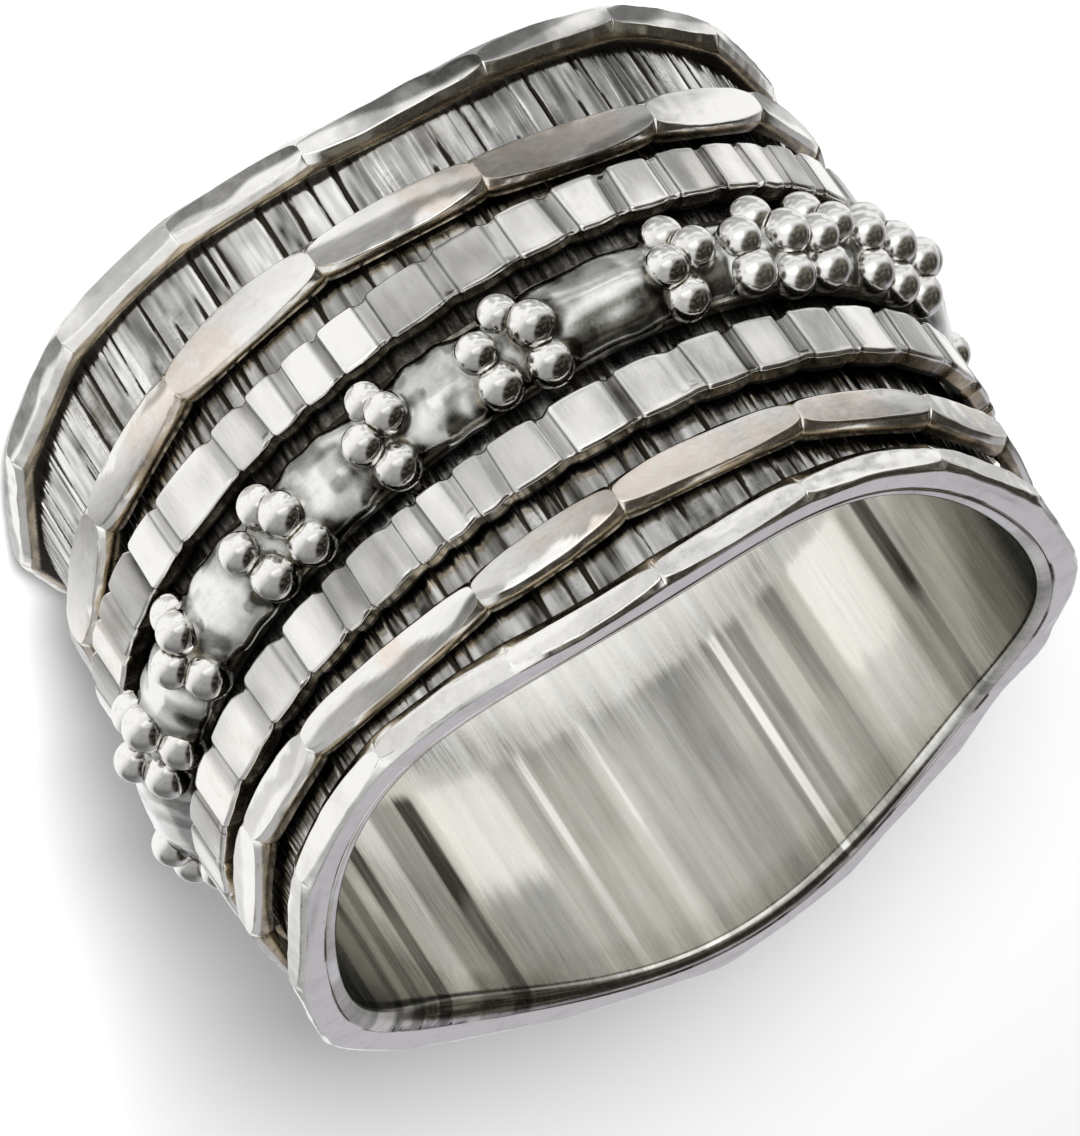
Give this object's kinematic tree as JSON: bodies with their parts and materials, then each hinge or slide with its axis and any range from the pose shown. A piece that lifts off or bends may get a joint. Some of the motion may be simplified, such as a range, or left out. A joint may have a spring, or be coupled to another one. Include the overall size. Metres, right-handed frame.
{
  "type": "spinner ring",
  "caption": "Wide silver ring with hammered rims and a dark lined sleeve, on which loose hammered, fluted and granulated bands spin.",
  "frame": {"origin": "on the axis of the finger hole, at the height of the bottom rim's lowest points", "axes": "+Z along the finger hole and up as the ring lies on its side, -Y to the front, +X to the right seen from the front"},
  "size_m": [0.0224, 0.0226, 0.0144],
  "materials": {
    "base_silver": "sterling silver, polished rims and bore, blackened lined sleeve",
    "hammered_silver": "sterling silver, hammered, with a warm tarnish",
    "fluted_silver": "sterling silver, polished, with dark grooves",
    "granulated_silver": "sterling silver, polished, blackened between the granules"
  },
  "bodies": {
    "ring": {"base_band": "base_silver"},
    "low_hammered_spinner": {"hammered_band_low": "hammered_silver"},
    "low_fluted_spinner": {"fluted_band_low": "fluted_silver"},
    "granulated_spinner": {"granulated_band": "granulated_silver"},
    "high_fluted_spinner": {"fluted_band_high": "fluted_silver"},
    "high_hammered_spinner": {"hammered_band_high": "hammered_silver"}
  },
  "joints": [
    {"name": "low_hammered_spin", "type": "hinge", "parent": "ring", "child": "low_hammered_spinner", "pos_m": [0, 0, 0.00345], "axis": [-0.0558, 0, 0.9984], "continuous": true},
    {"name": "low_fluted_spin", "type": "hinge", "parent": "ring", "child": "low_fluted_spinner", "pos_m": [0, 0, 0.00535], "axis": [-0.0436, 0, 0.999], "continuous": true},
    {"name": "granulated_spin", "type": "hinge", "parent": "ring", "child": "granulated_spinner", "pos_m": [0, 0, 0.0077], "axis": [-0.0401, 0, 0.9992], "continuous": true},
    {"name": "high_fluted_spin", "type": "hinge", "parent": "ring", "child": "high_fluted_spinner", "pos_m": [0, 0, 0.01008], "axis": [-0.0314, 0, 0.9995], "continuous": true},
    {"name": "high_hammered_spin", "type": "hinge", "parent": "ring", "child": "high_hammered_spinner", "pos_m": [0, 0, 0.012], "axis": [0, 0, 1], "continuous": true}
  ]
}
